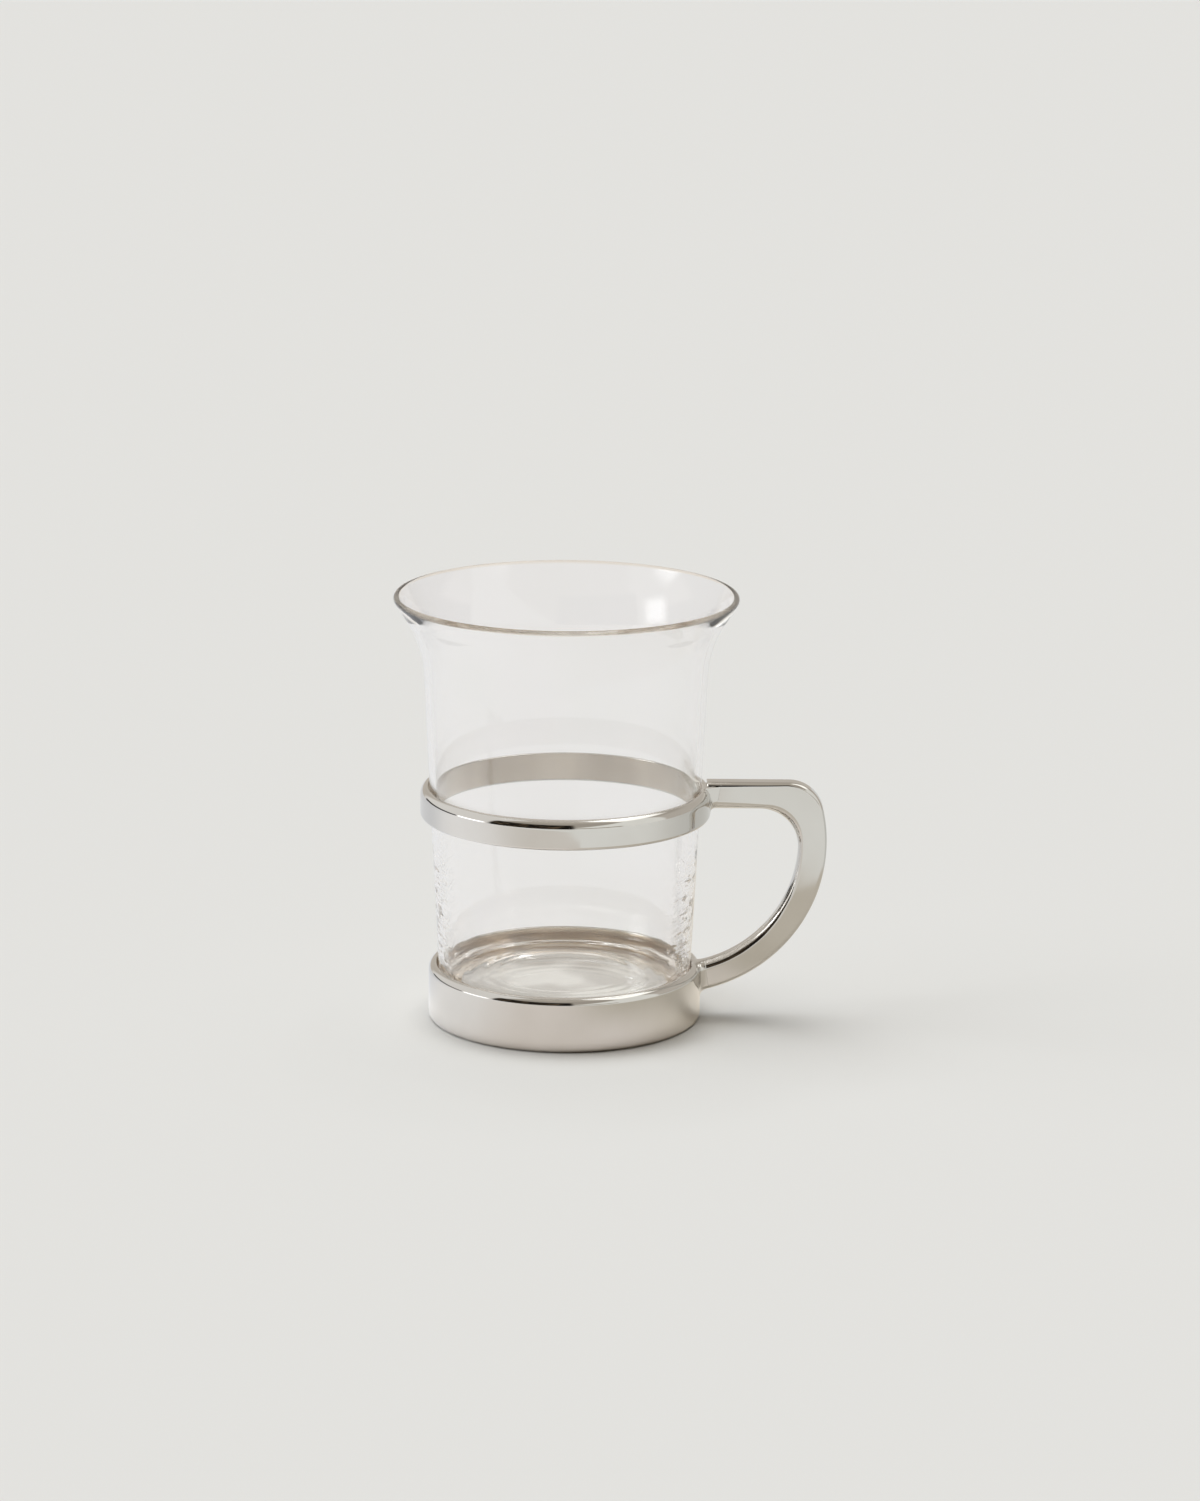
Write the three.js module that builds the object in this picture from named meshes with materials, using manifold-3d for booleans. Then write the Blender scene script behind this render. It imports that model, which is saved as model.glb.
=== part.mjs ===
// Tea glass in a polished metal holder. A flared glass beaker stands in a base ring and passes through an
// upper ring, and one bow-shaped handle is brazed to both. Millimetres, +Z up, handle towards +X.
import * as THREE from 'three';
import { mergeVertices } from 'three/addons/utils/BufferGeometryUtils.js';
import Module from 'manifold-3d';

const wasm = await Module();
wasm.setup();

const degree = Math.PI / 180;
const quarterTurn = Math.PI / 2;

// Glass beaker
const rimHeight = 110; // top of the rim above the table
const rimRadius = 43.6; // outside of the rim
const lipLean = 32 * degree; // lean of the flared lip from the vertical
const flareRadius = 30; // bend between wall and lip, on the outside
const footRadius = 31.68; // where the outer wall, drawn on, meets the underside
const wallLean = 2.77 * degree; // taper of the wall
const glassWall = 1.6;
const glassFloor = 10.2; // thickness of the bottom
const heelRadius = 3; // outer edge of the bottom
const innerCornerRadius = 5; // between inner wall and inner floor
const footBand = 2; // flat ring on the underside that stands on the ledge
const puntDepth = 0.3; // hollow of the underside inside the foot band

// Base ring, with a ledge that carries the glass
const baseHeight = 14.1;
const baseWall = 2.05;
const baseClearance = 0.45; // between glass and base ring, at the top of the ring
const baseEdge = 1; // rounding of the lower outer edge
const ledgeThickness = 1;
const ledgeFillet = 0.6; // between ledge and inner wall
const ledgeEdge = 0.3; // rounding of the ledge's inner edge

// Upper ring
const ringBottom = 52.95; // above the table
const ringHeight = 7.6;
const ringWall = 2;
const ringClearance = 0.35; // between glass and ring, at the top of the ring
const ringEdge = 0.8; // rounding of the lower edges

// Handle, a flat bar with rounded edges
const barDepth = 5.2; // across the handle, along Y
const barEdge = 1.4; // rounding of the long edges
const armHeight = 7.1; // straight arm at the upper ring
const armRise = 1.5; // top of the arm above the top of the upper ring
const fingerRoom = 22.5; // from the upper ring to the inside of the grip
const gripWidth = 7.2; // bar at its outermost point
const outerBowRadius = 40;
const innerBowRadius = 32.3;
const outerCornerRadius = 9;
const innerBendRadius = 10;
const lowerEndRise = 0.45; // top of the bar's lower end above the top of the base ring
const lowerEndHeight = 7.65;

// Brazed joints between handle and rings
const brazeRadius = 1.6; // hollow of the braze fillet
const brazeLip = 0.25; // thickness where the fillet runs out on the bar
const gap = 0.3; // clearance between neighbouring pieces

// Fineness of the round shapes
const turnSegments = 56;
const arcDivisions = 2;
const bowDivisions = 9;
const bevelSteps = 3;

// Heights and radii that follow from the sizes above
const glassBottom = ledgeThickness + gap;
const ringTop = ringBottom + ringHeight;
const wallRadiusAt = (z) => footRadius + Math.tan(wallLean) * (z - glassBottom);
const baseInner = wallRadiusAt(baseHeight) + baseClearance;
const baseOuter = baseInner + baseWall;
const ringInner = wallRadiusAt(ringTop) + ringClearance;
const ringOuter = ringInner + ringWall;
const heelHeight = glassBottom + heelRadius;
const heelCentre = wallRadiusAt(heelHeight) - heelRadius / Math.cos(wallLean);
const puntRadius = heelCentre - footBand;
const armTop = ringTop + armRise;
const armBottom = armTop - armHeight;
const handleReach = ringOuter + fingerRoom + gripWidth;

const polished = { color: 0xcbc9c2, roughness: 0.12, metalness: 1 };
const satin = { color: 0xc3bfb7, roughness: 0.2, metalness: 1 };
const clear = { color: 0xf1f3f0, roughness: 0.02, metalness: 0, transparent: true, opacity: 0.3 };

function piece(name, geometry, finish) {
  const mesh = new THREE.Mesh(geometry, new THREE.MeshStandardMaterial(finish));
  mesh.name = name;
  return mesh;
}

// Turns a profile of radius and height about the Z axis
function revolve(profile) {
  const geometry = new THREE.LatheGeometry(profile.getPoints(arcDivisions), turnSegments);
  return geometry.rotateX(quarterTurn);
}

function solidOf(geometry) {
  const bare = geometry.clone();
  bare.deleteAttribute('normal');
  bare.deleteAttribute('uv');
  const merged = mergeVertices(bare, 1e-4);
  const vertProperties = new Float32Array(merged.attributes.position.array);
  const triVerts = new Uint32Array(merged.index.array);
  return new wasm.Manifold(new wasm.Mesh({ numProp: 3, vertProperties, triVerts }));
}

function geometryOf(solid) {
  const mesh = solid.getMesh();
  const geometry = new THREE.BufferGeometry();
  geometry.setAttribute('position', new THREE.BufferAttribute(mesh.vertProperties, 3));
  geometry.setIndex(new THREE.BufferAttribute(mesh.triVerts, 1));
  geometry.computeVertexNormals();
  return geometry;
}

// Outer and inner skins share the flare's centre, so the wall keeps its thickness up to a fully round rim
function glassProfile() {
  const beadRadius = glassWall / 2;
  const beadCentre = new THREE.Vector2(rimRadius - beadRadius, rimHeight - beadRadius);
  const lipEnd = beadCentre.clone();
  lipEnd.x += beadRadius * Math.cos(lipLean);
  lipEnd.y -= beadRadius * Math.sin(lipLean);
  const flareOut = flareRadius * (Math.cos(wallLean) - Math.cos(lipLean));
  const flareUp = flareRadius * (Math.sin(lipLean) - Math.sin(wallLean));
  // Height where the tapered wall starts to bend, so that the lip's straight part ends on the rim
  const straightOut = lipEnd.x - wallRadiusAt(0) - flareOut - Math.tan(lipLean) * (lipEnd.y - flareUp);
  const flareStart = straightOut / (Math.tan(wallLean) - Math.tan(lipLean));
  const flareCentreR = wallRadiusAt(flareStart) + flareRadius * Math.cos(wallLean);
  const flareCentreZ = flareStart - flareRadius * Math.sin(wallLean);
  const innerFloor = glassBottom + glassFloor;
  const cornerHeight = innerFloor + innerCornerRadius;
  const innerInset = (glassWall + innerCornerRadius) / Math.cos(wallLean);
  const cornerCentre = wallRadiusAt(cornerHeight) - innerInset;
  const domeRadius = (puntRadius ** 2 + puntDepth ** 2) / (2 * puntDepth);
  const domeEdge = Math.acos(puntRadius / domeRadius);
  const profile = new THREE.Path();
  profile.moveTo(0, glassBottom + puntDepth);
  profile.absarc(0, glassBottom + puntDepth - domeRadius, domeRadius, quarterTurn, domeEdge, true);
  profile.absarc(heelCentre, heelHeight, heelRadius, -quarterTurn, -wallLean, false);
  profile.absarc(flareCentreR, flareCentreZ, flareRadius, Math.PI - wallLean, Math.PI - lipLean, true);
  profile.absarc(beadCentre.x, beadCentre.y, beadRadius, -lipLean, Math.PI - lipLean, false);
  const innerFlare = flareRadius + glassWall;
  profile.absarc(flareCentreR, flareCentreZ, innerFlare, Math.PI - lipLean, Math.PI - wallLean, false);
  profile.absarc(cornerCentre, cornerHeight, innerCornerRadius, -wallLean, -quarterTurn, true);
  profile.lineTo(0, innerFloor);
  return profile;
}

// Band with a fully round crest and small roundings below
function upperRingProfile() {
  const crest = ringWall / 2;
  const profile = new THREE.Path();
  profile.moveTo(ringInner + ringEdge, ringBottom);
  profile.lineTo(ringOuter - ringEdge, ringBottom);
  profile.absarc(ringOuter - ringEdge, ringBottom + ringEdge, ringEdge, -quarterTurn, 0, false);
  profile.absarc(ringInner + crest, ringTop - crest, crest, 0, Math.PI, false);
  profile.absarc(ringInner + ringEdge, ringBottom + ringEdge, ringEdge, Math.PI, 3 * quarterTurn, false);
  return profile;
}

// Band with a round crest and an inward ledge at the table
function baseRingProfile() {
  const crest = baseWall / 2;
  const profile = new THREE.Path();
  profile.moveTo(puntRadius, 0);
  profile.lineTo(baseOuter - baseEdge, 0);
  profile.absarc(baseOuter - baseEdge, baseEdge, baseEdge, -quarterTurn, 0, false);
  profile.absarc(baseInner + crest, baseHeight - crest, crest, 0, Math.PI, false);
  const filletCentre = baseInner - ledgeFillet;
  profile.absarc(filletCentre, ledgeThickness + ledgeFillet, ledgeFillet, 0, -quarterTurn, true);
  const edgeCentre = puntRadius + ledgeEdge;
  profile.absarc(edgeCentre, ledgeThickness - ledgeEdge, ledgeEdge, quarterTurn, Math.PI, false);
  profile.lineTo(puntRadius, 0);
  return profile;
}

// One edge of the handle: a straight run, a corner arc and a bow, each tangent to the next.
// The bow stands upright at its reach and passes through its end point on the base ring.
function handleEdge(lineHeight, reach, bowRadius, cornerRadius, endHeight) {
  const bowX = reach - bowRadius;
  const endOffset = baseOuter + gap - bowX;
  const bowZ = endHeight + Math.sqrt(bowRadius ** 2 - endOffset ** 2);
  const cornerZ = lineHeight - cornerRadius;
  const cornerX = bowX + Math.sqrt((bowRadius - cornerRadius) ** 2 - (cornerZ - bowZ) ** 2);
  const meetAngle = Math.atan2(cornerZ - bowZ, cornerX - bowX);
  return { bowX, bowZ, cornerX, cornerZ, meetAngle };
}

const lowerEndTop = baseHeight + lowerEndRise;
const lowerEndBottom = lowerEndTop - lowerEndHeight;
const outerEdge = handleEdge(armTop, handleReach, outerBowRadius, outerCornerRadius, lowerEndBottom);
const innerReach = handleReach - gripWidth;
const innerEdge = handleEdge(armBottom, innerReach, innerBowRadius, innerBendRadius, lowerEndTop);

const bowAngleAt = (edge, radius, x) => -Math.acos((x - edge.bowX) / radius);

// The bar between both edges. Grown by an amount all round, with its ends drawn back, it cuts its own seat.
function handleGeometry(grow, endsBack) {
  const upperEnd = ringOuter + gap - endsBack;
  const lowerEnd = baseOuter + gap - endsBack;
  const outerBow = outerBowRadius + grow;
  const innerBow = innerBowRadius - grow;
  const outerCorner = outerCornerRadius + grow;
  const innerCorner = innerBendRadius - grow;
  const outerEnd = bowAngleAt(outerEdge, outerBow, lowerEnd);
  const innerEnd = bowAngleAt(innerEdge, innerBow, lowerEnd);
  const shape = new THREE.Shape();
  shape.moveTo(upperEnd, armTop + grow);
  shape.lineTo(outerEdge.cornerX, armTop + grow);
  shape.absarc(outerEdge.cornerX, outerEdge.cornerZ, outerCorner, quarterTurn, outerEdge.meetAngle, true);
  shape.absarc(outerEdge.bowX, outerEdge.bowZ, outerBow, outerEdge.meetAngle, outerEnd, true);
  shape.absarc(innerEdge.bowX, innerEdge.bowZ, innerBow, innerEnd, innerEdge.meetAngle, false);
  shape.absarc(innerEdge.cornerX, innerEdge.cornerZ, innerCorner, innerEdge.meetAngle, quarterTurn, false);
  shape.lineTo(upperEnd, armBottom - grow);
  const straightDepth = barDepth - 2 * barEdge;
  const geometry = new THREE.ExtrudeGeometry(shape, {
    depth: straightDepth,
    curveSegments: bowDivisions,
    bevelThickness: barEdge + grow,
    bevelSize: barEdge + grow,
    bevelOffset: -barEdge - grow,
    bevelSegments: bevelSteps,
  });
  return geometry.translate(0, 0, -straightDepth / 2).rotateX(quarterTurn);
}

// Joins sections of equal point count into one closed body
function loft(sections) {
  const count = sections[0].length;
  const corners = [];
  const triangle = (a, b, c) => corners.push(...a.toArray(), ...b.toArray(), ...c.toArray());
  for (let j = 0; j + 1 < sections.length; j += 1) {
    for (let i = 0; i < count; i += 1) {
      const next = (i + 1) % count;
      triangle(sections[j][i], sections[j][next], sections[j + 1][next]);
      triangle(sections[j][i], sections[j + 1][next], sections[j + 1][i]);
    }
  }
  const first = sections[0];
  const last = sections[sections.length - 1];
  for (let i = 1; i + 1 < count; i += 1) {
    triangle(first[0], first[i + 1], first[i]);
    triangle(last[0], last[i], last[i + 1]);
  }
  const geometry = new THREE.BufferGeometry();
  geometry.setAttribute('position', new THREE.Float32BufferAttribute(corners, 3));
  return geometry;
}

// Trough-shaped section round the bar's sides and underside, spread from the bar by an amount
function brazeSection(along, spread, halfWidth) {
  const side = barDepth / 2 + spread;
  const bottom = -halfWidth - spread;
  const corner = barEdge + spread;
  const outline = new THREE.Path();
  outline.moveTo(side, halfWidth - barEdge);
  outline.lineTo(-side, halfWidth - barEdge);
  outline.absarc(corner - side, bottom + corner, corner, Math.PI, 3 * quarterTurn, false);
  outline.absarc(side - corner, bottom + corner, corner, -quarterTurn, 0, false);
  return outline.getPoints(arcDivisions).map((p) => new THREE.Vector3(along, p.x, p.y));
}

// Hollow fillet of braze metal between the bar and a ring of the given outer radius
function brazeFillet(ringRadius, ringWallThickness, midHeight, halfWidth, slope) {
  const spreadAtRing = brazeRadius + gap + brazeLip;
  const sections = [brazeSection(-ringWallThickness, spreadAtRing, halfWidth)];
  const steps = 2 * arcDivisions;
  for (let i = 0; i <= steps; i += 1) {
    const angle = quarterTurn * i / steps;
    const along = brazeRadius * (1 - Math.cos(angle));
    sections.push(brazeSection(along, spreadAtRing - brazeRadius * Math.sin(angle), halfWidth));
  }
  const flare = loft(sections).rotateY(-slope).translate(ringRadius, 0, midHeight);
  const core = new THREE.CylinderGeometry(ringRadius + gap, ringRadius + gap, rimHeight, turnSegments);
  core.rotateX(quarterTurn).translate(0, 0, rimHeight / 2);
  const seat = handleGeometry(gap, 2 * (ringWallThickness + gap));
  return geometryOf(solidOf(flare).subtract(solidOf(core)).subtract(solidOf(seat)));
}

// Slope of the bar where it meets the base ring
const outerSlope = quarterTurn + bowAngleAt(outerEdge, outerBowRadius, baseOuter);
const innerSlope = quarterTurn + bowAngleAt(innerEdge, innerBowRadius, baseOuter);
const lowerSlope = (outerSlope + innerSlope) / 2;
const lowerMiddle = (lowerEndTop + lowerEndBottom) / 2;
const lowerHalfWidth = lowerEndHeight * Math.cos(lowerSlope) / 2;
const upperMiddle = (armTop + armBottom) / 2;
const upperFillet = brazeFillet(ringOuter, ringWall, upperMiddle, armHeight / 2, 0);
const lowerFillet = brazeFillet(baseOuter, baseWall, lowerMiddle, lowerHalfWidth, lowerSlope);

const holder = new THREE.Group();
holder.add(
  piece('base_ring', revolve(baseRingProfile()), satin),
  piece('upper_ring', revolve(upperRingProfile()), polished),
  piece('handle', handleGeometry(0, 0), polished),
  piece('upper_braze_fillet', upperFillet, polished),
  piece('lower_braze_fillet', lowerFillet, polished),
);

// The origin lies on the table under the middle of the whole object, from rim to handle
const teaGlass = new THREE.Group();
teaGlass.add(holder, piece('glass_beaker', revolve(glassProfile()), clear));
teaGlass.position.x = (rimRadius - handleReach) / 2;

export default teaGlass;
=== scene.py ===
import math

import bpy
import numpy as np
from mathutils import Matrix, Vector


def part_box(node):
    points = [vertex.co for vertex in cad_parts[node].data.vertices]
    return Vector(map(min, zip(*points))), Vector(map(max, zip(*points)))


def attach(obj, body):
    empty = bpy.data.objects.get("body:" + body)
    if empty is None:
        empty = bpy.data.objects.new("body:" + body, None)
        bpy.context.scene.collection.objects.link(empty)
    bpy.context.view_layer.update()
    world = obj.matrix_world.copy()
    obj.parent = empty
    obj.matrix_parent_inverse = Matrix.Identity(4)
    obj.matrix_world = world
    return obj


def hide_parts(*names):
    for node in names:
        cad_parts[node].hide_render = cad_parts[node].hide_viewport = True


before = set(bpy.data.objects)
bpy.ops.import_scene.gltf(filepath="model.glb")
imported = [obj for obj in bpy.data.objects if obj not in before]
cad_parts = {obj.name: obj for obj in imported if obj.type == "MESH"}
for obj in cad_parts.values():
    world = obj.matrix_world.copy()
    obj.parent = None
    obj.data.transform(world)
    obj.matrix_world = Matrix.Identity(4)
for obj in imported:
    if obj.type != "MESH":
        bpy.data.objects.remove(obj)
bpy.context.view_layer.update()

scene = bpy.context.scene
mm = 0.001
fullTurn = 2 * math.pi
wallRadius = 33 * mm  # about the radius of rings and glass, for swells that run round them
hair = 0.02  # mm, to tell which face of a ring a point lies on

baseLow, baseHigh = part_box("base_ring")
ringLow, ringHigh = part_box("upper_ring")
glassLow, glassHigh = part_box("glass_beaker")
barLow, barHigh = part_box("handle")
axisX = (baseLow.x + baseHigh.x) / 2  # the glass's axis stands upright at this x, with y = 0


# Lines and surfaces

def arc(centreR, centreZ, size, start, end, count):
    # centre + size * (cos a, sin a), with the angle a in degrees running evenly from start to end
    a = np.radians(np.linspace(start, end, count))
    return np.column_stack([centreR + size * np.cos(a), centreZ + size * np.sin(a)])


def between(first, last, count):
    # straight run of evenly spaced points
    return first + np.linspace(0, 1, count)[:, None] * (np.asarray(last) - first)


def chain(*stretches):
    # one profile from several, with the point that two stretches share kept once
    points = np.vstack(stretches)
    step = np.linalg.norm(np.diff(points, axis=0), axis=1)
    return points[np.concatenate([[True], step > 1e-6])]


def crest(inner, outer, top, drop, tight, count):
    # top of a band, from its outer to its inner face: a quarter ellipse, drop high, then a tight quarter
    # circle
    a = np.radians(np.linspace(0, 90, count))[:, None]
    flank = np.hstack([inner + tight + (outer - inner - tight) * np.cos(a), top - drop + drop * np.sin(a)])
    return chain(flank, arc(inner + tight, top - tight, tight, 90, 180, count // 3))


def smoothStep(low, high, x):
    # 0 below low, 1 above high, and 3t^2 - 2t^3 between
    t = np.clip((x - low) / (high - low), 0, 1)
    return t * t * (3 - 2 * t)


def unit(vectors):
    return vectors / np.linalg.norm(vectors, axis=-1, keepdims=True)


def waves(seed, count, shortest, longest, around, height):
    # sum of slanted sine waves on a cylinder: each has a whole number of crests round it and a pitch up it,
    # and a height in step with its length, so long swells stand higher than short ripples
    draw = np.random.default_rng(seed)
    length = np.exp(draw.uniform(np.log(shortest), np.log(longest), count))
    slant = draw.uniform(0, fullTurn, count)
    crests = np.round(fullTurn * wallRadius * np.cos(slant) / length)
    pitch = np.sin(slant) / length
    phase = draw.uniform(0, fullTurn, count)
    angle = crests * around[..., None] + fullTurn * pitch * height[..., None] + phase
    return (np.sin(angle) * length).sum(axis=-1) / (longest * math.sqrt(count / 2))


def turned(profile, count, swell):
    # a profile of radius and height turned about the glass's axis: (r cos a, r sin a, z), with a swell
    # added to r
    around = np.linspace(0, fullTurn, count, endpoint=False)[None, :] + np.zeros((len(profile), 1))
    height = profile[:, 1:] * mm + 0 * around
    radius = profile[:, :1] * mm + swell(around, height)
    return np.stack([axisX + radius * np.cos(around), radius * np.sin(around), height], axis=-1)


def cornerMap(grid, count):
    # u once round the columns and v along the rows in metres, at the four corners of every quad
    columns = grid.shape[1]
    step = np.linalg.norm(np.diff(grid, axis=0, append=grid[:1]), axis=-1).mean(axis=1)
    along = np.concatenate([[0], np.cumsum(step)])
    u = np.arange(columns + 1) / columns
    vLow, uLeft = np.meshgrid(along[:count], u[:-1], indexing="ij")
    vHigh, uRight = np.meshgrid(along[1:count + 1], u[1:], indexing="ij")
    across = np.stack([uLeft, uRight, uRight, uLeft], axis=-1)
    upwards = np.stack([vLow, vLow, vHigh, vHigh], axis=-1)
    return np.stack([across, upwards], axis=-1)


def skin(name, grid, closedAlong, finishes, finishOfRow=None):
    # a mesh over a grid of points whose columns run round: quads between rows, and triangles where a row has
    # shrunk to one point
    rows, columns = grid.shape[:2]
    points = grid.reshape(-1, 3)
    index = np.arange(rows * columns).reshape(rows, columns)
    pole = np.ptp(grid, axis=1).max(axis=1) < 1e-9
    index[pole] = index[pole][:, :1]
    lower = index if closedAlong else index[:-1]
    upper = np.roll(index, -1, axis=0) if closedAlong else index[1:]
    corners = np.stack([lower, np.roll(lower, -1, axis=1), np.roll(upper, -1, axis=1), upper], axis=-1)
    count = len(corners)
    finish = np.zeros((count, columns), int)
    if finishOfRow is not None:
        finish[:] = np.asarray(finishOfRow)[:count, None]
    finish = finish.reshape(-1)
    corners = corners.reshape(-1, 4)
    spread = cornerMap(grid, count).reshape(-1, 4, 2)

    a, b, c, d = (points[corners[:, k]] for k in range(4))
    volume = (a * np.cross(b, c)).sum() + (a * np.cross(c, d)).sum()
    if volume < 0:  # faces would point inwards
        corners = corners[:, ::-1]
        spread = spread[:, ::-1]

    same = corners == np.roll(corners, -1, axis=1)
    whole = ~same.any(axis=1)
    faces, uv, which = [corners[whole]], [spread[whole]], [finish[whole]]
    for k in range(4):
        left = [i for i in range(4) if i != k]
        faces.append(corners[same[:, k]][:, left])
        uv.append(spread[same[:, k]][:, left])
        which.append(finish[same[:, k]])
    used = np.unique(np.concatenate([f.reshape(-1) for f in faces]))
    renumber = np.zeros(len(points), int)
    renumber[used] = np.arange(len(used))
    uv = np.concatenate([part.reshape(-1) for part in uv]).astype(np.float32)
    which = np.concatenate(which).astype(np.int32)

    mesh = bpy.data.meshes.new(name)
    mesh.from_pydata(points[used].tolist(), [], sum((renumber[f].tolist() for f in faces), []))
    mesh.uv_layers.new(name="skinMap").data.foreach_set("uv", uv)
    for material in finishes:
        mesh.materials.append(material)
    mesh.polygons.foreach_set("material_index", which)
    mesh.shade_smooth()
    mesh.validate()
    mesh.update()
    piece = bpy.data.objects.new(name, mesh)
    scene.collection.objects.link(piece)
    return piece


# Nodes

def newMaterial(name):
    material = bpy.data.materials.new(name)
    material.use_nodes = True
    material.node_tree.nodes.clear()
    return material, material.node_tree


def addNode(tree, kind, settings=None, **sockets):
    node = tree.nodes.new(kind)
    for key, value in (settings or {}).items():
        setattr(node, key, value)
    for key, value in sockets.items():
        node.inputs[key.replace("_", " ")].default_value = value
    return node


def mathNode(tree, operation, *values):
    node = addNode(tree, "ShaderNodeMath", {"operation": operation})
    for socket, value in zip(node.inputs, values):
        if isinstance(value, (int, float)):
            socket.default_value = value
        else:
            tree.links.new(value, socket)
    return node.outputs["Value"]


def soft(tree, value, fromMin, fromMax):
    # 0 at fromMin and 1 at fromMax, whichever is the larger, with a smooth step between
    node = addNode(tree, "ShaderNodeMapRange", {"interpolation_type": "SMOOTHSTEP"},
                   From_Min=fromMin, From_Max=fromMax, To_Min=0.0, To_Max=1.0)
    tree.links.new(value, node.inputs["Value"])
    return node.outputs["Result"]


def layered(tree, mask, under, over):
    # one colour laid over another where the mask is 1; sockets 6, 7 and 2 are the node's colours
    node = addNode(tree, "ShaderNodeMix", {"data_type": "RGBA"})
    tree.links.new(mask, node.inputs[0])
    for socket, colour in ((node.inputs[6], under), (node.inputs[7], over)):
        if isinstance(colour, tuple):
            socket.default_value = colour + (1,)
        else:
            tree.links.new(colour, socket)
    return node.outputs[2]


def noise(tree, coordinate, scale, detail, stretch=(1, 1, 1)):
    # features about 1/scale metres long, squeezed along an axis by its stretch
    mapping = addNode(tree, "ShaderNodeMapping", Scale=stretch)
    texture = addNode(tree, "ShaderNodeTexNoise", Scale=scale, Detail=detail)
    tree.links.new(coordinate, mapping.inputs["Vector"])
    tree.links.new(mapping.outputs["Vector"], texture.inputs["Vector"])
    return texture.outputs["Fac"]


noiseLow, noiseHigh = 0.3, 0.7  # most of a noise lies between these


def spanned(tree, value, low, high):
    # the middle of a noise's range spread from low to high
    node = addNode(tree, "ShaderNodeMapRange", From_Min=noiseLow, From_Max=noiseHigh, To_Min=low, To_Max=high)
    tree.links.new(value, node.inputs["Value"])
    return node.outputs["Result"]


def tinted(tree, value, first, second):
    # and the same from one colour to another
    node = addNode(tree, "ShaderNodeValToRGB")
    ends = node.color_ramp.elements
    ends[0].position, ends[1].position = noiseLow, noiseHigh
    ends[0].color, ends[1].color = first + (1,), second + (1,)
    tree.links.new(value, node.inputs["Fac"])
    return node.outputs["Color"]


def layOut(tree):
    # nodes in columns, by the number of links between each one and the output
    links = [(link.from_node.name, link.to_node.name) for link in tree.links]
    column = {node.name: 0 for node in tree.nodes}
    for _ in column:
        for source, target in links:
            column[source] = max(column[source], column[target] + 1)
    filled = {}
    for node in tree.nodes:
        place = column[node.name]
        node.location = (-220 * place, -200 * filled.get(place, 0))
        filled[place] = filled.get(place, 0) + 1


# Finishes; a noise is given by its features per metre, detail and stretch

polished = {
    "cloudDark": (0.62, 0.605, 0.58),  # colour under the faint film left by polishing
    "cloudLight": (0.66, 0.65, 0.63),
    "cloud": (70, 3),
    "roughness": (0.025, 0.075),
    "smear": (260, 4, (1, 1, 0.3)),
    "lines": (900, 3, (1, 1, 0.15)),
    "lineDepth": 0.000004,
    "lineStrength": 0.25,
}
satin = {
    # one turned finish in two copies: the ring's is darker, painted shade, and the base's lighter, painted
    # light, for how each inner wall is lit
    "ringDark": (0.515, 0.455, 0.385),
    "ringLight": (0.67, 0.605, 0.53),
    "baseDark": (0.61, 0.525, 0.425),
    "baseLight": (0.79, 0.695, 0.585),
    "cloud": (75, 2, (1, 1, 0.12)),
    "roughness": (0.20, 0.27),
    "lines": (40, 5, (1, 1, 90)),  # turning lines run round, so they are squeezed along z
    "lineDepth": 0.0000012,
    "lineStrength": 0.3,
    "grain": 0.8,  # how far the turning lines smear a reflection across themselves
    "grainTurn": 0.25,
}
clear = {
    "first": (1.0, 1.0, 1.0),
    "second": (0.985, 0.99, 0.982),
    "rimReflectionFirst": (0.92, 0.86, 0.775),  # painted reflection: warm on the lip, for the brown that the rim shows of the room
    "rimReflectionSecond": (0.945, 0.89, 0.81),
    "cloud": (40, 2),
    "roughness": (0.0, 0.012),
    "wiped": (120, 4, (1, 1, 0.4)),
    "ior": 1.5,
    "shade": (0.98, 0.98, 0.977),  # lamp light that the glass lets through
    "crackle": 0.0005,  # height of the uneven surface low down on the wall
    "crackleNoise": (480, 1, (0.3, 0.3, 1)),
    "crackleHeights": (0.052, 0.030),  # metres: it starts at the first and is full at the second
    "crackleNear": (0.0245, 0.0315),  # and so from the glass's axis towards the handle
    "crackleFar": (-0.028, -0.0322),  # and away from it
}


def polishedFinish():
    material, tree = newMaterial("polishedMetal")
    coordinate = addNode(tree, "ShaderNodeTexCoord").outputs["Object"]
    cloud = noise(tree, coordinate, *polished["cloud"])
    smear = noise(tree, coordinate, *polished["smear"])
    lines = noise(tree, coordinate, *polished["lines"])
    shader = addNode(tree, "ShaderNodeBsdfPrincipled", Metallic=1.0)
    bump = addNode(tree, "ShaderNodeBump", Strength=polished["lineStrength"], Distance=polished["lineDepth"])
    output = addNode(tree, "ShaderNodeOutputMaterial")
    colour = tinted(tree, cloud, polished["cloudDark"], polished["cloudLight"])
    tree.links.new(colour, shader.inputs["Base Color"])
    tree.links.new(spanned(tree, smear, *polished["roughness"]), shader.inputs["Roughness"])
    tree.links.new(lines, bump.inputs["Height"])
    tree.links.new(bump.outputs["Normal"], shader.inputs["Normal"])
    tree.links.new(shader.outputs["BSDF"], output.inputs["Surface"])
    layOut(tree)
    return material


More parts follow.
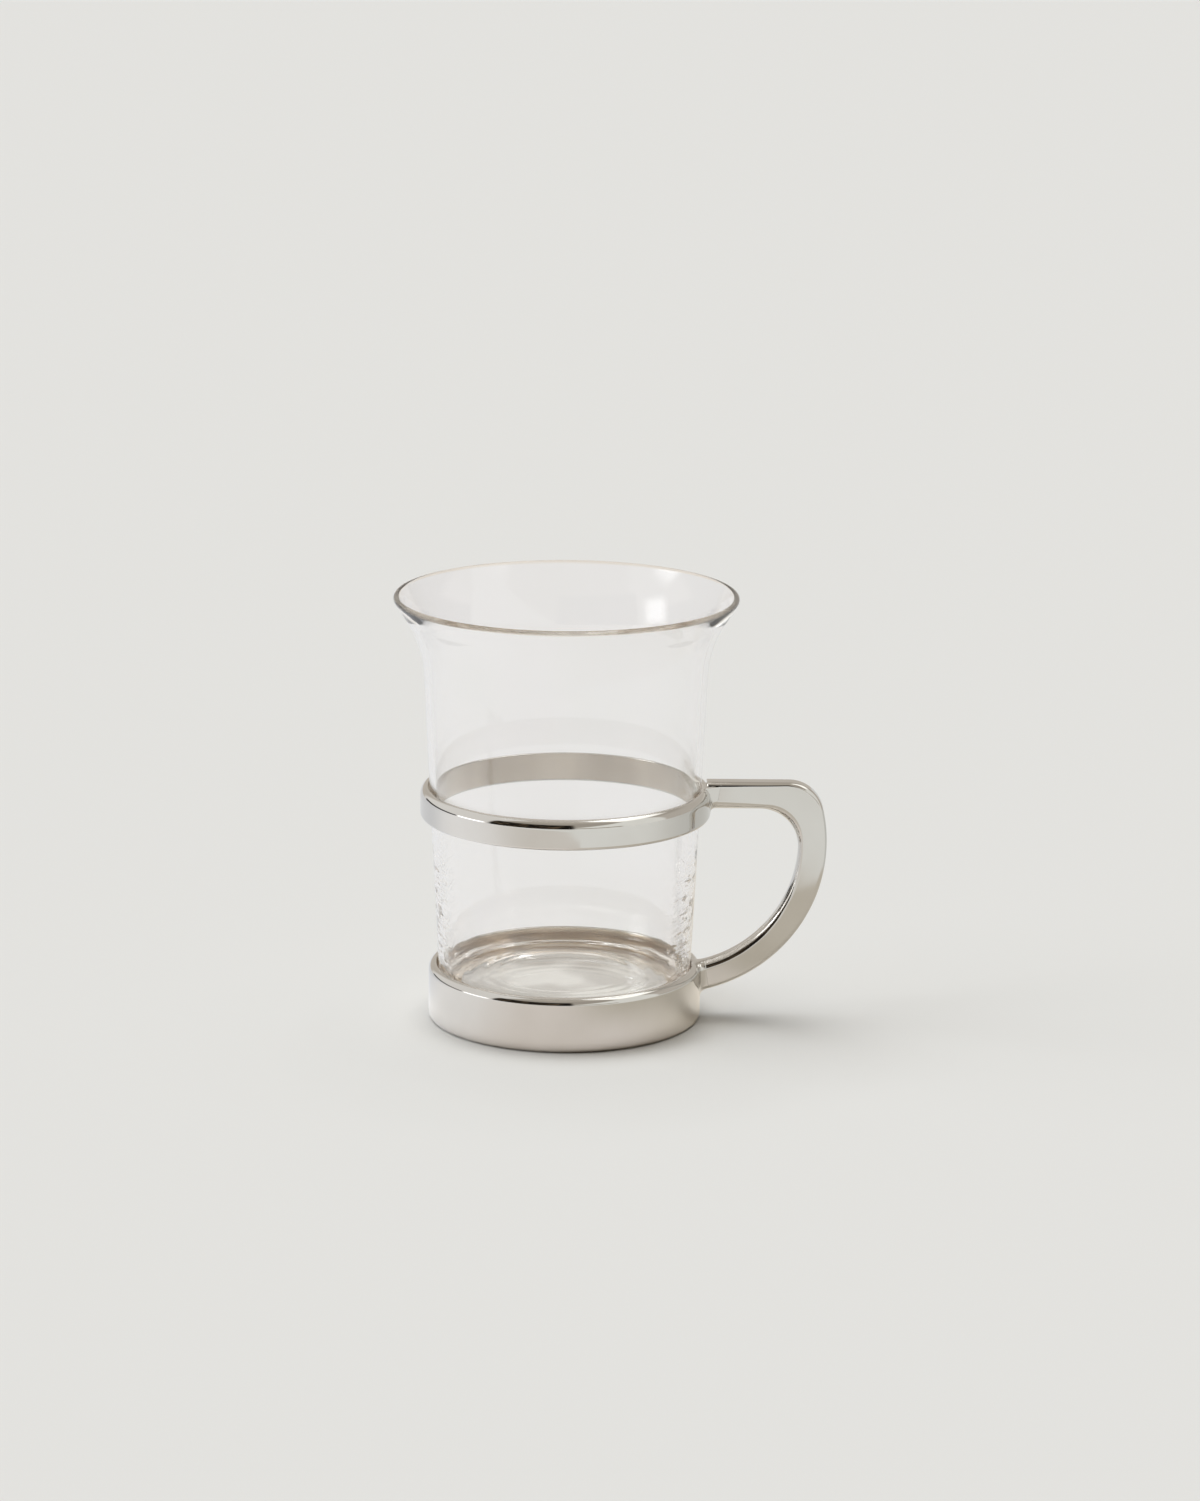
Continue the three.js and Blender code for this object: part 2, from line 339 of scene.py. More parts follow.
def satinFinish(name, dark, light):
    material, tree = newMaterial(name)
    coordinate = addNode(tree, "ShaderNodeTexCoord").outputs["Object"]
    cloud = noise(tree, coordinate, *satin["cloud"])
    lines = noise(tree, coordinate, *satin["lines"])
    shader = addNode(tree, "ShaderNodeBsdfPrincipled", Metallic=1.0,
                     Anisotropic=satin["grain"], Anisotropic_Rotation=satin["grainTurn"])
    tangent = addNode(tree, "ShaderNodeTangent", {"direction_type": "UV_MAP", "uv_map": "skinMap"})
    bump = addNode(tree, "ShaderNodeBump", Strength=satin["lineStrength"], Distance=satin["lineDepth"])
    output = addNode(tree, "ShaderNodeOutputMaterial")
    tree.links.new(tinted(tree, cloud, dark, light), shader.inputs["Base Color"])
    tree.links.new(spanned(tree, lines, *satin["roughness"]), shader.inputs["Roughness"])
    tree.links.new(lines, bump.inputs["Height"])
    tree.links.new(bump.outputs["Normal"], shader.inputs["Normal"])
    tree.links.new(tangent.outputs["Tangent"], shader.inputs["Tangent"])
    tree.links.new(shader.outputs["BSDF"], output.inputs["Surface"])
    layOut(tree)
    return material


def crackle(tree, coordinate, shader):
    # a fine uneven surface that the mould left, low on the wall at the handle's side and at the opposite one
    split = addNode(tree, "ShaderNodeSeparateXYZ")
    tree.links.new(coordinate, split.inputs["Vector"])
    aside = mathNode(tree, "SUBTRACT", split.outputs["X"], axisX)
    near = soft(tree, aside, *clear["crackleNear"])
    far = soft(tree, aside, *clear["crackleFar"])
    low = soft(tree, split.outputs["Z"], *clear["crackleHeights"])
    where = mathNode(tree, "MULTIPLY", low, mathNode(tree, "ADD", near, far))
    bump = addNode(tree, "ShaderNodeBump", Distance=clear["crackle"])
    tree.links.new(where, bump.inputs["Strength"])
    tree.links.new(noise(tree, coordinate, *clear["crackleNoise"]), bump.inputs["Height"])
    tree.links.new(bump.outputs["Normal"], shader.inputs["Normal"])


def glassFinish(name, first, second):
    # clear glass that lets lamp light straight through to the floor
    material, tree = newMaterial(name)
    coordinate = addNode(tree, "ShaderNodeTexCoord").outputs["Object"]
    cloud = noise(tree, coordinate, *clear["cloud"])
    wiped = noise(tree, coordinate, *clear["wiped"])
    shader = addNode(tree, "ShaderNodeBsdfPrincipled", Transmission_Weight=1.0, IOR=clear["ior"])
    through = addNode(tree, "ShaderNodeBsdfTransparent", Color=clear["shade"] + (1,))
    path = addNode(tree, "ShaderNodeLightPath")
    choice = addNode(tree, "ShaderNodeMixShader")
    output = addNode(tree, "ShaderNodeOutputMaterial")
    tree.links.new(tinted(tree, cloud, first, second), shader.inputs["Base Color"])
    tree.links.new(spanned(tree, wiped, *clear["roughness"]), shader.inputs["Roughness"])
    crackle(tree, coordinate, shader)
    tree.links.new(path.outputs["Is Shadow Ray"], choice.inputs["Fac"])
    tree.links.new(shader.outputs["BSDF"], choice.inputs[1])
    tree.links.new(through.outputs["BSDF"], choice.inputs[2])
    tree.links.new(choice.outputs["Shader"], output.inputs["Surface"])
    layOut(tree)
    return material


mirror = polishedFinish()
# the turned finish as painted shade on the ring and as painted light on the base
shadedTurnedRing = satinFinish("shadedTurnedRing", satin["ringDark"], satin["ringLight"])
litTurnedBase = satinFinish("litTurnedBase", satin["baseDark"], satin["baseLight"])
clearGlass = glassFinish("clearGlass", clear["first"], clear["second"])
# the glass with a painted reflection, for the lip
rimReflectionGlass = glassFinish("rimReflectionGlass", clear["rimReflectionFirst"], clear["rimReflectionSecond"])
print("finishes made")


# Rings of the holder, sizes in mm

polishing = {
    "waves": 14,
    "shortest": 7.0,
    "longest": 22.0,
    "height": 0.006,
}
ring = {
    "outer": (ringHigh.x - ringLow.x) / 2 / mm,
    "bottom": ringLow.z / mm,
    "top": ringHigh.z / mm,
    "wall": 2.0,
    "edge": 0.9,  # rounding of the bottom edges
    "crestDrop": 2.4,
    "crestTight": 0.25,
    "turns": 320,
    "polishSeed": 4,
}
base = {
    "outer": (baseHigh.x - baseLow.x) / 2 / mm,
    "bottom": 0.0,
    "top": baseHigh.z / mm,
    "wall": 2.05,
    "edge": 1.1,
    "crestDrop": 1.95,
    "crestTight": 0.3,
    "ledge": 1.0,
    "ledgeInner": 26.82,
    "ledgeFillet": 0.6,
    "ledgeEdge": 0.3,
    "turns": 320,
    "polishSeed": 9,
}


def handPolish(seed):
    # long shallow swells that hand polishing leaves on a bright face
    shortest, longest = polishing["shortest"] * mm, polishing["longest"] * mm

    def swell(around, z):
        return polishing["height"] * mm * waves(seed, polishing["waves"], shortest, longest, around, z)
    return swell


def upperRing():
    # a band: flat bottom with small roundings, upright faces and an elliptical crest
    outer, wall, edge = ring["outer"], ring["wall"], ring["edge"]
    drop, tight = ring["crestDrop"], ring["crestTight"]
    inner = outer - wall
    low, high = ring["bottom"], ring["top"]
    profile = chain(
        between((inner + edge, low), (outer - edge, low), 5),
        arc(outer - edge, low + edge, edge, -90, 0, 10),
        between((outer, low + edge), (outer, high - drop), 14),
        crest(inner, outer, high, drop, tight, 30),
        between((inner, high - tight), (inner, low + edge), 14),
        arc(inner + edge, low + edge, edge, 180, 270, 10),
    )[:-1]
    insideWall = (profile[:, 0] < inner + hair) & (profile[:, 1] < high - tight + hair)
    grid = turned(profile, ring["turns"], handPolish(ring["polishSeed"]))
    piece = skin("upperRing", grid, True, [mirror, shadedTurnedRing], np.where(insideWall, 1, 0))
    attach(piece, "holder")
    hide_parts("upper_ring")


def baseRing():
    # a band with an elliptical crest, and a ledge turned inwards at the table
    outer, wall, edge = base["outer"], base["wall"], base["edge"]
    drop, tight = base["crestDrop"], base["crestTight"]
    inner, low, high = outer - wall, base["bottom"], base["top"]
    ledge, lip, fillet, lipEdge = base["ledge"], base["ledgeInner"], base["ledgeFillet"], base["ledgeEdge"]
    profile = chain(
        between((lip, low), (outer - edge, low), 10),
        arc(outer - edge, low + edge, edge, -90, 0, 12),
        between((outer, low + edge), (outer, high - drop), 20),
        crest(inner, outer, high, drop, tight, 30),
        between((inner, high - tight), (inner, ledge + fillet), 16),
        arc(inner - fillet, ledge + fillet, fillet, 0, -90, 10),
        between((inner - fillet, ledge), (lip + lipEdge, ledge), 12),
        arc(lip + lipEdge, ledge - lipEdge, lipEdge, 90, 180, 8),
        between((lip, ledge - lipEdge), (lip, low), 4),
    )[:-1]
    insideWall = (profile[:, 0] < inner + hair) & (profile[:, 1] < high - tight + hair)
    finish = np.where(insideWall & (profile[:, 1] > ledge - lipEdge), 1, 0)
    grid = turned(profile, base["turns"], handPolish(base["polishSeed"]))
    piece = skin("baseRing", grid, True, [mirror, litTurnedBase], finish)
    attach(piece, "holder")
    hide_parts("base_ring")


upperRing()
baseRing()
print("rings made")


# Handle, sizes in mm about the glass's axis

bar = {
    "reach": (barHigh.x - axisX) / mm,
    "top": barHigh.z / mm,
    "lowerBottom": barLow.z / mm,
    "depth": (barHigh.y - barLow.y) / mm,
    "outerEdge": 1.25,  # rounding along the outside of the bow
    "innerEdge": 2.2,  # and along the inside, where fingers lie
    "armHeight": 7.1,
    "gripWidth": 7.2,
    "lowerHeight": 7.65,
    "outerBow": 40.0,
    "innerBow": 32.3,
    "outerCorner": 9.0,
    "innerBend": 10.0,
    "sink": 1.0,  # how far the ends run into the rings
    "polishSwell": 0.012,
    "polishSeed": 21,
    "polishWaves": 10,
    "polishShortest": 9.0,
    "polishLongest": 24.0,
    "polishRun": 130.0,  # about the bar's length
}


def handleEdge(lineHeight, reach, bowSize, cornerSize, endHeight):
    # straight run, corner arc and bow, each tangent to the next; the bow is upright at its reach
    bowX = reach - bowSize
    endOffset = base["outer"] - bowX
    bowZ = endHeight + math.sqrt(bowSize ** 2 - endOffset ** 2)
    cornerZ = lineHeight - cornerSize
    cornerX = bowX + math.sqrt((bowSize - cornerSize) ** 2 - (cornerZ - bowZ) ** 2)
    meet = math.degrees(math.atan2(cornerZ - bowZ, cornerX - bowX))
    end = -math.degrees(math.acos((base["outer"] - bar["sink"] - bowX) / bowSize))
    start = ring["outer"] - bar["sink"]
    return np.vstack([
        between((start, lineHeight), (cornerX, lineHeight), 40)[:-1],
        arc(cornerX, cornerZ, cornerSize, 90, meet, 50)[:-1],
        arc(bowX, bowZ, bowSize, meet, end, 150),
    ])


def barSection(halfWidth, halfDepth):
    # rounded rectangle for each half width: corner centres plus edge * (cos a, sin a), with points near each
    # corner on the flats, so that the flats shade flat
    steps = np.radians(np.linspace(0, 90, 13))
    nudge = 0.25
    across, deep = [], []
    for k, (sideX, sideY) in enumerate([(1, 1), (-1, 1), (-1, -1), (1, -1)]):
        edge = bar["outerEdge"] if sideX > 0 else bar["innerEdge"]
        a = steps + k * math.pi / 2
        centreX = sideX * (halfWidth[:, None] - edge)
        cornerX = centreX + edge * np.cos(a)
        cornerY = np.broadcast_to(sideY * (halfDepth - edge) + edge * np.sin(a), cornerX.shape)
        before = np.array([math.sin(a[0]), -math.cos(a[0])]) * nudge
        after = np.array([-math.sin(a[-1]), math.cos(a[-1])]) * nudge
        across += [cornerX[:, :1] + before[0], cornerX, cornerX[:, -1:] + after[0]]
        deep += [cornerY[:, :1] + before[1], cornerY, cornerY[:, -1:] + after[1]]
    return np.hstack(across), np.hstack(deep)


def handleGrid():
    # the section carried along the middle of both edges: middle + across * (direction from the inner to the
    # outer edge), and deep along y
    lowerTop = bar["lowerBottom"] + bar["lowerHeight"]
    outer = handleEdge(bar["top"], bar["reach"], bar["outerBow"], bar["outerCorner"], bar["lowerBottom"])
    inner = handleEdge(bar["top"] - bar["armHeight"], bar["reach"] - bar["gripWidth"],
                       bar["innerBow"], bar["innerBend"], lowerTop)
    middle = (outer + inner) / 2
    width = np.linalg.norm(outer - inner, axis=1)
    outwards = unit(outer - inner)
    across, deep = barSection(width / 2, bar["depth"] / 2)
    x = middle[:, :1] + outwards[:, :1] * across
    z = middle[:, 1:] + outwards[:, 1:] * across
    return np.stack([x, deep, z], axis=-1)


def placed(points):
    # from mm about the glass's axis to the frame
    return points * mm + np.array([axisX, 0, 0])


def handle():
    # the bar, swollen a little about its middle line by polishing; its ends close inside the rings
    points = handleGrid()
    rows, columns = points.shape[:2]
    length = np.linspace(0, bar["polishRun"] * mm, rows)[:, None] + np.zeros((1, columns))
    turn = np.linspace(0, fullTurn, columns, endpoint=False)[None, :] + np.zeros((rows, 1))
    swell = waves(bar["polishSeed"], bar["polishWaves"], bar["polishShortest"] * mm,
                  bar["polishLongest"] * mm, turn, length)
    middle = points.mean(axis=1, keepdims=True)
    grid = middle + (points - middle) * (1 + bar["polishSwell"] / bar["depth"] * swell)[..., None]
    grid[..., 0] = np.minimum(grid[..., 0], bar["reach"])
    caps = np.repeat(middle[[0, -1]], columns, axis=1)
    piece = skin("handleBar", placed(np.concatenate([caps[:1], grid, caps[1:]])), False, [mirror])
    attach(piece, "holder")
    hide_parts("handle")


handle()
print("handle made")


# Brazed joints, sizes in mm

braze = {
    "along": 1.9,  # from the ring's face to where the fillet runs out on the bar
    "spread": 2.0,  # from the bar's face to where it runs out on the ring
    "sink": 0.25,  # the back of the fillet lies this far inside bar and ring
    "steps": 16,
    "rowsBack": 6,  # rows of the bar that give its direction at the ring
}


def onBand(point, band):
    # the nearest point of a band's outer face or crest: its radius shrinks along the crest's ellipse
    drop, depth = band["crestDrop"], band["wall"] - band["crestTight"]
    z = np.clip(point[..., 2], band["bottom"] + band["edge"], band["top"])
    rise = np.clip((z - band["top"]) / drop + 1, 0, 1)
    radius = band["outer"] - depth * (1 - np.sqrt(1 - rise ** 2))
    x = np.sqrt(np.maximum(radius ** 2 - point[..., 1] ** 2, 0))
    return np.stack([x, point[..., 1], z], axis=-1)


def brazeFillet(name, node, band, fromTop):
    # at every point round the bar, a quadratic curve from the bar to the ring with its middle point in the
    # corner, so that it is tangent to both
    points = handleGrid() if fromTop else handleGrid()[::-1]
    away = points[:len(points) // 3, :, 0].mean(axis=1)
    row = int(np.argmin(np.abs(away - band["outer"] - braze["along"])))
    start = points[row]
    back = unit(points[max(row - braze["rowsBack"], 0)] - start)
    corner = onBand(start + back * braze["along"], band)
    outwards = (start - start.mean(axis=0)) * np.array([0, 1, 1])
    ahead = np.roll(start, -1, axis=0) - np.roll(start, 1, axis=0)
    normal = unit(np.cross(ahead, back))
    normal = normal * np.sign((normal * outwards).sum(axis=1, keepdims=True))
    end = onBand(corner + normal * braze["spread"], band)
    t = np.linspace(0, 1, braze["steps"])[:, None, None]
    front = (1 - t) ** 2 * start + 2 * t * (1 - t) * corner + t ** 2 * end
    inwards = np.array([-2 * braze["sink"], 0, 0])
    under = normal * braze["sink"]
    hidden = np.stack([end + inwards, corner - under + inwards, start - under])
    piece = skin(name, placed(np.concatenate([front, hidden])), True, [mirror])
    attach(piece, "holder")
    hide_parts(node)


brazeFillet("upperBraze", "upper_braze_fillet", ring, True)
brazeFillet("lowerBraze", "lower_braze_fillet", base, False)
print("brazed joints made")


# Glass, sizes in mm and degrees

beaker = {
    "rimRadius": (glassHigh.x - glassLow.x) / 2 / mm,
    "rimHeight": glassHigh.z / mm,
    "bottom": glassLow.z / mm,
    "lipLean": 32.0,
    "flare": 30.0,
    "footRadius": 31.68,
    "wallLean": 2.77,
    "wall": 1.6,
    "lipWall": 1.6,
    "rimReflectionShare": 0.8,  # share of the lip's thickness that carries the painted reflection, from its top
    "floor": 10.2,
    "heel": 3.0,
    "innerCorner": 2.5,
    "floorRings": 0.035,  # height of the rings pressed into the floor
    "ringSpacing": 3.5,
    "ringsFrom": (14.0, 19.0),  # they rise between these radii
    "ringsEdge": 1.5,  # and fade this far from the inner corner
    "footBand": 2.0,
    "punt": 0.3,
    "turns": 320,
    "rippleTop": 50.0,  # the mould's ripples start below this height
    "rippleFull": 22.5,  # and are full below this one
    "rippleFoot": 7.0,  # and fade over this height above the foot
    "rippleFront": 0.05,  # share of them that is left at the front and back
    "rippleInside": 0.016,
    "rippleOutside": 0.008,
    "rippleWaves": 18,
    "rippleShortest": 2.4,
    "rippleLongest": 7.0,
    "outsideSeed": 31,
    "insideSeed": 57,
}


def glassProfile():
    # outside and inside share the flare's centre, and the lip ends in a fully round bead
    lean, lip = math.radians(beaker["wallLean"]), math.radians(beaker["lipLean"])
    leanDeg, lipDeg = beaker["wallLean"], beaker["lipLean"]
    wall, heel, corner, flare = beaker["wall"], beaker["heel"], beaker["innerCorner"], beaker["flare"]
    bottom = beaker["bottom"]
    bead = beaker["lipWall"] / 2
    beadR, beadZ = beaker["rimRadius"] - bead, beaker["rimHeight"] - bead

    def wallAt(z):
        return beaker["footRadius"] + math.tan(lean) * (z - bottom)

    # the flare starts where the leaning wall, continued by an arc, would meet the lip
    lipR, lipZ = beadR + bead * math.cos(lip), beadZ - bead * math.sin(lip)
    flareOut = flare * (math.cos(lean) - math.cos(lip))
    flareUp = flare * (math.sin(lip) - math.sin(lean))
    straightOut = lipR - wallAt(0) - flareOut - math.tan(lip) * (lipZ - flareUp)
    flareStart = straightOut / (math.tan(lean) - math.tan(lip))
    flareR = wallAt(flareStart) + flare * math.cos(lean)
    flareZ = flareStart - flare * math.sin(lean)
    flareArc = arc(flareR, flareZ, flare, 180 - leanDeg, 180 - lipDeg, 18)
    innerFlare = arc(flareR, flareZ, flare + 2 * bead, 180 - lipDeg, 180 - leanDeg, 18)

    heelZ = bottom + heel
    heelR = wallAt(heelZ) - heel / math.cos(lean)
    heelArc = arc(heelR, heelZ, heel, -90, -leanDeg, 22)
    floorZ = bottom + beaker["floor"]
    cornerZ = floorZ + corner
    cornerR = wallAt(cornerZ) - (wall + corner) / math.cos(lean)
    cornerArc = arc(cornerR, cornerZ, corner, -leanDeg, -90, 16)
    puntR = heelR - beaker["footBand"]
    dome = (puntR ** 2 + beaker["punt"] ** 2) / (2 * beaker["punt"])
    domeEdge = math.degrees(math.acos(puntR / dome))

    # the pressed floor: rings that fade towards the middle, a cosine of the radius
    floorLine = between(cornerArc[-1], (0, floorZ), 70)
    radius = floorLine[:, 0]
    fade = smoothStep(*beaker["ringsFrom"], radius)
    fade = fade * (1 - smoothStep(cornerR - beaker["ringsEdge"], cornerR, radius))
    floorLine[:, 1] += beaker["floorRings"] * fade * np.cos(fullTurn * radius / beaker["ringSpacing"])

    # the rippled stretch of the wall has more points than the rest
    rippled = beaker["rippleTop"]
    outerMid = (wallAt(rippled), rippled)
    part = (rippled - cornerArc[0][1]) / (innerFlare[-1][1] - cornerArc[0][1])
    innerMid = cornerArc[0] + part * (innerFlare[-1] - cornerArc[0])
    return chain(
        arc(0, bottom + beaker["punt"] - dome, dome, 90, domeEdge, 14),
        between((puntR, bottom), (heelR, bottom), 5),
        heelArc,
        between(heelArc[-1], outerMid, 56),
        between(outerMid, flareArc[0], 8),
        flareArc,
        arc(beadR, beadZ, bead, -lipDeg, 180 - lipDeg, 18),
        innerFlare,
        between(innerFlare[-1], innerMid, 8),
        between(innerMid, cornerArc[0], 52),
        cornerArc,
        floorLine,
    )


def mouldRipples(inside):
    # uneven ripples of the lower wall: sums of waves, other ones inside than outside, most at the handle's
    # side and opposite, and fading towards rippleTop and the foot
    count = beaker["rippleWaves"]
    shortest, longest = beaker["rippleShortest"] * mm, beaker["rippleLongest"] * mm
    foot = beaker["bottom"] * mm

    def swell(around, z):
        rise = 1 - smoothStep(beaker["rippleFull"] * mm, beaker["rippleTop"] * mm, z)
        rise = rise * smoothStep(foot, foot + beaker["rippleFoot"] * mm, z)
        sides = beaker["rippleFront"] + (1 - beaker["rippleFront"]) * np.cos(around) ** 4
        outer = waves(beaker["outsideSeed"], count, shortest, longest, around, z) * beaker["rippleOutside"]
        inner = waves(beaker["insideSeed"], count, shortest, longest, around, z) * beaker["rippleInside"]
        return mm * rise * sides * np.where(inside[:, None], inner, outer)
    return swell


def glass():
    profile = glassProfile()
    inside = np.arange(len(profile)) > int(np.argmax(profile[:, 1]))
    grid = turned(profile, beaker["turns"], mouldRipples(inside))
    ends = np.abs(profile[:, 0]) < 1e-9
    grid[ends, :, :2] = np.array([axisX, 0])
    # the top of the lip takes the glass with the painted reflection
    high = profile[:, 1] > beaker["rimHeight"] - beaker["rimReflectionShare"] * beaker["lipWall"]
    rim = high & np.roll(high, -1)
    piece = skin("glassBeaker", grid, False, [clearGlass, rimReflectionGlass], np.where(rim, 1, 0))
    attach(piece, "glass")
    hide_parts("glass_beaker")


glass()
print("glass made")


# Floor, light and camera

studio = {
    "floorColour": (0.768, 0.762, 0.735),
    "floorHalf": 12.0,
    "throughGlass": (0.81, 0.795, 0.785),  # painted light: the floor as the glass shows it, lighter than to the camera
    "gathered": (0.58, 0.56, 0.53),  # and under the thick bottom, painted patches of shade and of light that the glass gathers
    "gatheredLight": (0.92, 0.905, 0.865),
    "gatheredNoise": (52, 1.5),
    "gatheredEdge": (0.42, 0.60),
    "mirrorFront": (0.81, 0.77, 0.715),  # painted reflections: the floor as the metal mirrors it, in front of the object
    "mirrorNearFront": (0.90, 0.84, 0.785),
    "mirrorRight": (0.92, 0.92, 0.88),
    "mirrorFarRight": (0.68, 0.675, 0.64),
    # painted sheen: the floor on the left is mirrored lighter
    "mirrorSheenLeft": (1.05, 1.04, 1.03),
    "mirrorFarLeft": (0.80, 0.81, 0.83),
    "mirrorBack": (0.74, 0.74, 0.73),
    "mirrorShadeNearRight": (0.665, 0.615, 0.53),  # painted shade beside the handle
    "mirrorShadeBeside": (0.965, 0.90, 0.795),  # and painted shade close to the base
    "horizon": (0.46, 0.42, 0.365),
    "roomThroughGlass": (0.75, 0.70, 0.64),
    "mottle": (0.13, 0.095, 0.06),  # brown shapes in the dark part of the room
    "mottleNoise": (9, 3),
    "mottleEdge": (0.48, 0.62),
}
# where the floor's tones change, each from its start to where it is full: metres from the glass's axis, or
# degrees round it from the camera's side towards the handle
zones = {
    "nearFront": (0.16, 0.08),
    "rightLine": (0.513, 0.539),  # metres beyond a slanted line, x + slant * y
    "rightTurn": (9.7403, 12.6051),
    "rightAway": (0.12, 0.18),
    "left": (-20, -75),
    "farLeft": (-90, -130),
    "farRight": (55, 115),
    "besideAway": (0.12, 0.075),
    "besideTurn": (28.6479, 80.2141),
    "back": (140, 178),
    "nearRightOuter": (0.164, 0.140),
    "nearRightInner": (0.045, 0.075),
    "nearRightSide": (-0.01, 0.05),
    "underGlass": (0.032, 0.02),
}
rightSlant = -2.02
# lamps that light the floor: azimuth from the camera's side towards +X, elevation and width in degrees, the
# share of the floor's light and a colour
lamps = {
    "window": (-88, 32, 46, 0.20, (0.97, 1.0, 1.04)),
    "backLeft": (-142, 64, 46, 0.28, (0.97, 1.0, 1.04)),
    "back": (176, 67, 56, 0.30, (0.97, 1.0, 1.04)),
    "backRight": (120, 60, 50, 0.08, (1.0, 1.0, 1.0)),
    "overhead": (0, 90, 60, 0.14, (1.167, 1.0, 0.777)),
}
# parts of the room that the metal mirrors: azimuth from the camera's side towards +X and its half width,
# lowest and highest elevation, how much the top rises per degree of azimuth, softness of the edge, all in
# degrees, and the light from there
room = {
    "backWall": (180, 100, -20, 38, 0, 20, (0.62, 0.575, 0.515)),
    "ceiling": (0, 200, 58, 120, 0, 24, (0.57, 0.525, 0.455)),
    "leftWall": (-102, 45, -4, 72, 0, 10, (0.93, 0.91, 0.875)),
    "board": (44, 42, -6, 36, 0.7, 5, (0.96, 0.955, 0.905)),
    "shelf": (24, 22, 3, 8, 0, 3, (0.34, 0.29, 0.22)),
    "rightLamp": (95, 40, 48, 80, 0, 10, (1.7, 1.68, 1.6)),
    "darkRoom": (-27, 34.5, -2, 38, 0, 5, (0.012, 0.011, 0.010)),
    "darkCorner": (-118, 24, -4, 6, 0, 4, (0.02, 0.02, 0.02)),
    "window": (-79, 13, 1, 6, 0, 5, (3.4, 3.4, 3.45)),
}
# and what shows through the glass, in the same way, over an even wall
roomInGlass = {
    "darkLeft": (-120, 32, -10, 26, 0, 6, (0.04, 0.04, 0.04)),
    "darkRight": (116, 32, -10, 26, 0, 6, (0.05, 0.05, 0.05)),
    "windowLow": (-66, 9, -8, 8, 0, 8, (2.2, 2.15, 2.1)),
    "window": (-77, 9, 13, 32, 0, 11, (5.6, 5.6, 5.7)),
    "rightLight": (74, 9, -14, -4, 0, 5, (3.2, 3.2, 3.2)),
    "skylight": (100, 50, 48, 80, 0, 8, (2.6, 2.6, 2.6)),
    "smallLamp": (62, 4, -12, 0, 0, 2, (5.0, 4.7, 4.3)),
}


def azimuthOf(tree, x, y):
    # degrees from the camera's side, -Y, towards +X
    return mathNode(tree, "DEGREES", mathNode(tree, "ARCTAN2", x, mathNode(tree, "MULTIPLY", y, -1)))


def floorTone(tree):
    # one even colour to the camera; the metal mirrors it in painted tones round the object, each laid over
    # the last, with painted shade close to the base and beside the handle and a painted sheen on the left,
    # and the glass shows a paler one, painted light, with painted patches of light and shade under its thick
    # bottom
    coordinate = addNode(tree, "ShaderNodeTexCoord").outputs["Object"]
    split = addNode(tree, "ShaderNodeSeparateXYZ")
    tree.links.new(coordinate, split.inputs["Vector"])
    x = mathNode(tree, "SUBTRACT", split.outputs["X"], axisX)
    y = split.outputs["Y"]
    squares = mathNode(tree, "ADD", mathNode(tree, "POWER", x, 2), mathNode(tree, "POWER", y, 2))
    away = mathNode(tree, "SQRT", squares)
    turn = azimuthOf(tree, x, y)
    slanted = mathNode(tree, "ADD", x, mathNode(tree, "MULTIPLY", y, rightSlant))

    def zone(value, name):
        return soft(tree, value, *zones[name])

    def both(first, second):
        return mathNode(tree, "MULTIPLY", first, second)

    right = mathNode(tree, "MAXIMUM", zone(slanted, "rightLine"), zone(turn, "rightTurn"))
    nearRight = both(zone(away, "nearRightOuter"), zone(away, "nearRightInner"))
    tones = [
        (zone(away, "nearFront"), "mirrorNearFront"),
        (both(right, zone(away, "rightAway")), "mirrorRight"),
        (zone(turn, "left"), "mirrorSheenLeft"),
        (zone(turn, "farLeft"), "mirrorFarLeft"),
        (zone(turn, "farRight"), "mirrorFarRight"),
        (both(zone(away, "besideAway"), zone(turn, "besideTurn")), "mirrorShadeBeside"),
        (zone(mathNode(tree, "ABSOLUTE", turn), "back"), "mirrorBack"),
        (both(nearRight, zone(x, "nearRightSide")), "mirrorShadeNearRight"),
    ]
    mirrored = studio["mirrorFront"]
    for mask, colour in tones:
        mirrored = layered(tree, mask, mirrored, studio[colour])
    # painted patches of light and shade on the floor under the glass's bottom
    patches = soft(tree, noise(tree, coordinate, *studio["gatheredNoise"]), *studio["gatheredEdge"])
    under = layered(tree, patches, studio["gathered"], studio["gatheredLight"])
    through = layered(tree, zone(away, "underGlass"), studio["throughGlass"], under)
    # painted reflections for the metal and painted light for the glass, chosen by the kind of ray
    path = addNode(tree, "ShaderNodeLightPath")
    tone = layered(tree, path.outputs["Is Glossy Ray"], studio["floorColour"], mirrored)
    return layered(tree, path.outputs["Is Transmission Ray"], tone, through)


def floor():
    half = studio["floorHalf"]
    corners = [(-half, -half, 0), (half, -half, 0), (half, half, 0), (-half, half, 0)]
    sheet = bpy.data.meshes.new("floor")
    sheet.from_pydata(corners, [], [(0, 1, 2, 3)])
    material, tree = newMaterial("floorPaint")
    shader = addNode(tree, "ShaderNodeBsdfDiffuse")
    output = addNode(tree, "ShaderNodeOutputMaterial")
    tree.links.new(floorTone(tree), shader.inputs["Color"])
    tree.links.new(shader.outputs["BSDF"], output.inputs["Surface"])
    layOut(tree)
    sheet.materials.append(material)
    piece = bpy.data.objects.new("floor", sheet)
    scene.collection.objects.link(piece)


def towards(azimuth, elevation):
    # unit vector from the object to a point of the room
    a, e = math.radians(azimuth), math.radians(elevation)
    return Vector((math.sin(a) * math.cos(e), -math.cos(a) * math.cos(e), math.sin(e)))


